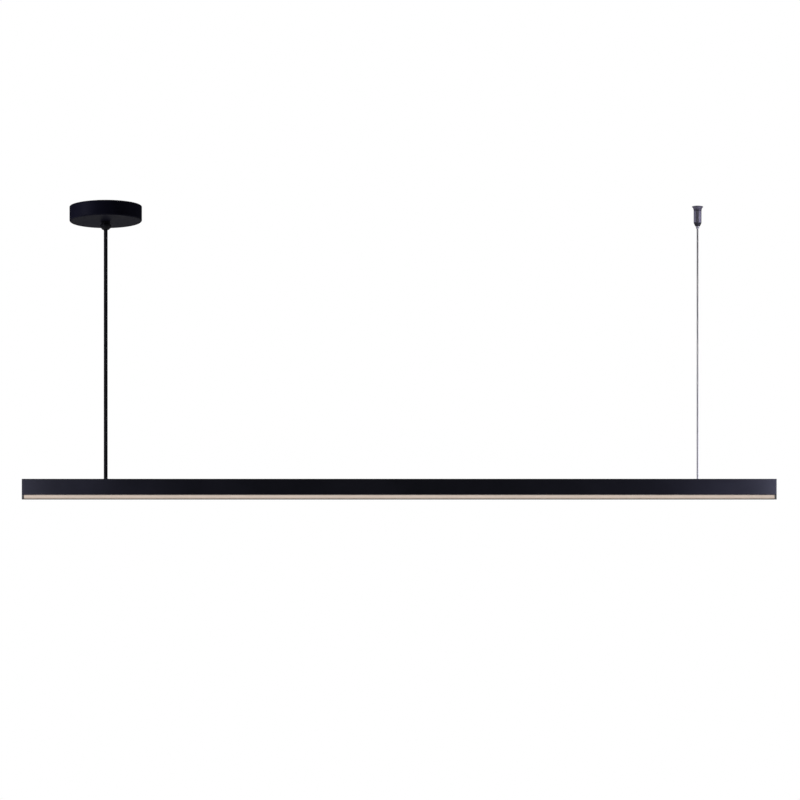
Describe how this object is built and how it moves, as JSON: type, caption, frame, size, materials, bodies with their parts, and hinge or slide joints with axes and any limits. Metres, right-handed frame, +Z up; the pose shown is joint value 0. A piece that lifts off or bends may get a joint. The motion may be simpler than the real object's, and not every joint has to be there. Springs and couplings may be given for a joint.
{
  "type": "linear pendant light",
  "caption": "Slim black linear light bar with an opal lens below, hung level from a round ceiling canopy by its power cord and from a ceiling cable gripper by a thin steel wire.",
  "frame": {"origin": "on the ceiling, at the middle of the canopy and of its two outlet box slots", "axes": "+X along the bar from the power cord towards the wire, +Y to the back, +Z up"},
  "size_m": [1.25, 0.12, 0.49],
  "materials": {
    "bar_black": "matte black powder coat on extruded aluminium",
    "canopy_black": "matte black powder coat on drawn steel",
    "black_nylon": "moulded black nylon",
    "zinc_steel": "zinc plated",
    "spring_steel": "bright spring steel",
    "screw_black": "black oxide",
    "screw_green": "green dyed",
    "tinned": "tinned",
    "brass": "plain brass",
    "seal_rubber": "soft black rubber",
    "cord_jacket": "matte black jacket",
    "lead_black": "insulation",
    "lead_white": "insulation",
    "lead_green": "insulation",
    "lead_red": "insulation",
    "block_white": "moulded nylon",
    "nickel": "satin nickel plate",
    "ball_steel": "polished",
    "wire_steel": "stranded stainless",
    "lens_opal": "opal, warm white",
    "board_white": "white solder mask",
    "phosphor": "phosphor",
    "driver_case": "fine textured"
  },
  "bodies": {
    "ceiling_mount": {"crossbar": "zinc_steel", "ground_screw": "screw_green", "ground_lug": "tinned", "canopy_cover": "canopy_black", "canopy_set_screws": "screw_black", "grip_body": "black_nylon", "grip_locknut": "zinc_steel", "grip_nut": "black_nylon", "cord_top": "cord_jacket", "lead_live": "lead_black", "lead_neutral": "lead_white", "lead_earth": "lead_green", "terminal_block": "block_white", "terminal_screws": "brass", "anchor_base": "nickel", "anchor_barrel": "nickel", "gripper_spring": "spring_steel", "wire_top": "wire_steel"},
    "cord_seal": {"grip_seal": "seal_rubber"},
    "cord": {"power_cord": "cord_jacket"},
    "light_bar": {"bar_side_front": "bar_black", "bar_side_back": "bar_black", "bar_roof": "bar_black", "bar_web": "bar_black", "cap_blocks": "bar_black", "end_cap_left": "bar_black", "end_cap_right": "bar_black", "end_cap_screws": "screw_black", "diffuser_clips": "spring_steel", "led_boards": "board_white", "led_chips": "phosphor", "led_driver": "driver_case", "driver_screws": "zinc_steel", "gland_body": "bar_black", "gland_nut": "zinc_steel", "cord_stop": "tinned", "cord_bottom": "cord_jacket", "wire_socket": "bar_black", "socket_nut": "zinc_steel", "bar_lead_live": "lead_black", "bar_lead_neutral": "lead_white", "bar_lead_earth": "lead_green", "earth_lug": "tinned", "earth_screw": "brass", "led_lead_plus": "lead_red", "led_lead_minus": "lead_black"},
    "wire": {"suspension_wire": "wire_steel", "wire_ball": "wire_steel"},
    "plunger": {"gripper_plunger": "nickel", "gripper_balls": "ball_steel"},
    "lens": {"diffuser": "lens_opal", "diffuser_legs": "lens_opal"}
  },
  "joints": [
    {"name": "sway_across", "type": "hinge", "parent": "ceiling_mount", "child": "cord_seal", "pos_m": [0, 0, -0.035], "axis": [1, 0, 0], "range_deg": [-8, 8]},
    {"name": "sway_along", "type": "hinge", "parent": "cord_seal", "child": "cord", "pos_m": [0, 0, -0.035], "axis": [0, 1, 0], "range_deg": [-8, 8]},
    {"name": "bar_level", "type": "hinge", "parent": "cord", "child": "light_bar", "pos_m": [0, 0, -0.4625], "axis": [0, 1, 0], "range_deg": [-8, 8]},
    {"name": "wire_follow", "type": "hinge", "parent": "light_bar", "child": "wire", "pos_m": [0.98, 0, -0.4625], "axis": [0, 1, 0], "range_deg": [-8, 8]},
    {"name": "plunger_press", "type": "slide", "parent": "ceiling_mount", "child": "plunger", "axis": [0, 0, 1], "range_m": [0, 0.0025], "stiffness_N_per_m": 1200, "springref_m": -0.002, "deforming": ["gripper_spring"]},
    {"name": "diffuser_release", "type": "slide", "parent": "light_bar", "child": "lens", "axis": [0, 0, 1], "range_m": [-0.05, 0]}
  ],
  "couplings": [
    {"joint": "bar_level", "follows": "sway_along", "ratio": -1},
    {"joint": "wire_follow", "follows": "sway_along", "ratio": 1}
  ]
}
